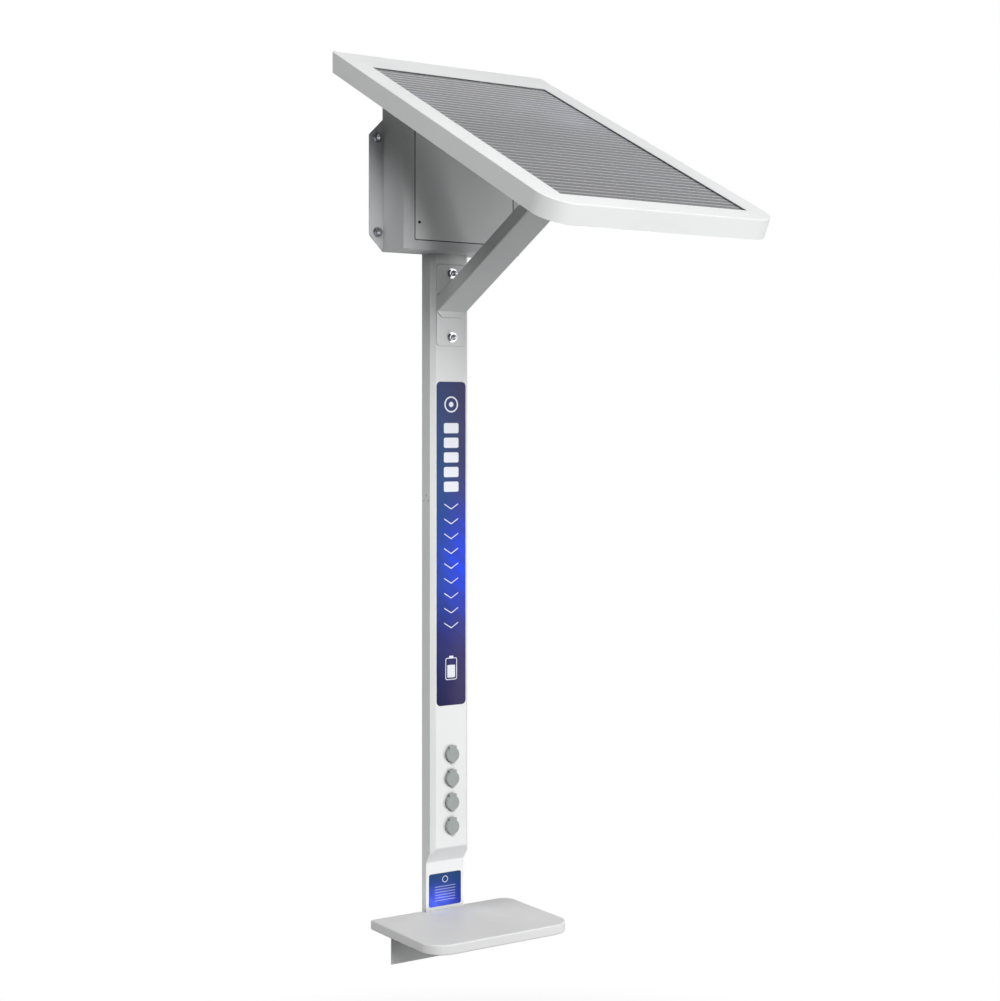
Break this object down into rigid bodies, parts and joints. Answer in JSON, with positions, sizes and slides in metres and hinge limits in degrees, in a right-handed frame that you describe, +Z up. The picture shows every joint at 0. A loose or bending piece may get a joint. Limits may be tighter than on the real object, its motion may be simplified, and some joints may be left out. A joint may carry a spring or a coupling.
{
  "type": "solar charging post",
  "caption": "Wall-hung charging post: folded column with capped sockets, small shelf, battery cabinet and a leaning solar panel on a strut.",
  "frame": {"origin": "centre of the four wall studs, in the rear plane of the post", "axes": "+X to the right seen from the front, -Y to the front, +Z up; the wall studs point along +Y"},
  "size_m": [0.558, 0.851, 2.0245],
  "materials": {
    "white_paint": "white powder coat, satin",
    "shelf_board": "smooth light grey board with rounded edges",
    "label_print": "blue printed film, plain gradient",
    "socket_plastic": "grey moulded plastic",
    "cap_plastic": "light grey moulded plastic",
    "port_tongue": "white contact carriers",
    "chrome_parts": "polished, chromed",
    "steel_parts": "plain zinc-plated steel",
    "dark_screws": "black oxide screws",
    "black_rubber": "soft black rubber",
    "battery_case": "black moulded battery case",
    "battery_poles": "brass",
    "device_case": "dark moulded housings",
    "module_frame": "anodised aluminium",
    "module_glass": "clear tempered glass",
    "solar_cells": "dark blue cells with fine light lines"
  },
  "bodies": {
    "post": {"battery": "battery_case", "battery_strap": "steel_parts", "battery_terminals": "battery_poles", "battery_tray": "steel_parts", "cabinet_back_plate": "white_paint", "cabinet_cover": "white_paint", "cabinet_shell": "white_paint", "cable_grommets": "black_rubber", "charge_controller": "device_case", "clamp_nuts": "steel_parts", "clamp_studs": "steel_parts", "column_back_plate": "white_paint", "column_channel": "white_paint", "cover_frame": "steel_parts", "cover_gasket": "black_rubber", "cover_screws": "dark_screws", "dome_nuts": "chrome_parts", "dome_washers": "chrome_parts", "floor_bolts": "steel_parts", "foot_bolts": "steel_parts", "fuse_holder": "device_case", "housing_base": "steel_parts", "housing_rim": "steel_parts", "housing_shell": "white_paint", "inner_screws": "steel_parts", "junction_box": "device_case", "large_hex_nuts": "steel_parts", "long_label": "label_print", "pv_cells": "solar_cells", "pv_clamps": "module_frame", "pv_frame": "module_frame", "pv_glass": "module_glass", "roof_bolts": "steel_parts", "shelf_bracket": "white_paint", "shelf_screws": "steel_parts", "shelf_top": "shelf_board", "small_hex_nuts": "steel_parts", "small_label": "label_print", "strut_backing_bar": "steel_parts", "strut_backing_plate": "steel_parts", "strut_end_plate": "white_paint", "strut_foot_plate": "white_paint", "strut_studs": "steel_parts", "strut_top_bolts": "steel_parts", "strut_top_plate": "white_paint", "strut_tube": "white_paint", "sunk_screws": "steel_parts", "usb_hinge_pins": "steel_parts", "usb_port_shells": "chrome_parts", "usb_port_tongues": "port_tongue", "usb_ring_nuts": "socket_plastic", "usb_socket_1": "socket_plastic", "usb_socket_2": "socket_plastic", "usb_socket_3": "socket_plastic", "usb_socket_4": "socket_plastic", "wall_studs": "steel_parts"},
    "cap_1": {"usb_cap_1": "cap_plastic"},
    "cap_2": {"usb_cap_2": "cap_plastic"},
    "cap_3": {"usb_cap_3": "cap_plastic"},
    "cap_4": {"usb_cap_4": "cap_plastic"}
  },
  "joints": [
    {"name": "cap_1_hinge", "type": "hinge", "parent": "post", "child": "cap_1", "pos_m": [0, -0.0501, -1.4201], "axis": [-1, 0, 0], "range_deg": [0, 110]},
    {"name": "cap_2_hinge", "type": "hinge", "parent": "post", "child": "cap_2", "pos_m": [0, -0.0501, -1.3661], "axis": [-1, 0, 0], "range_deg": [0, 110]},
    {"name": "cap_3_hinge", "type": "hinge", "parent": "post", "child": "cap_3", "pos_m": [0, -0.0501, -1.3121], "axis": [-1, 0, 0], "range_deg": [0, 110]},
    {"name": "cap_4_hinge", "type": "hinge", "parent": "post", "child": "cap_4", "pos_m": [0, -0.0501, -1.2581], "axis": [-1, 0, 0], "range_deg": [0, 110]}
  ]
}
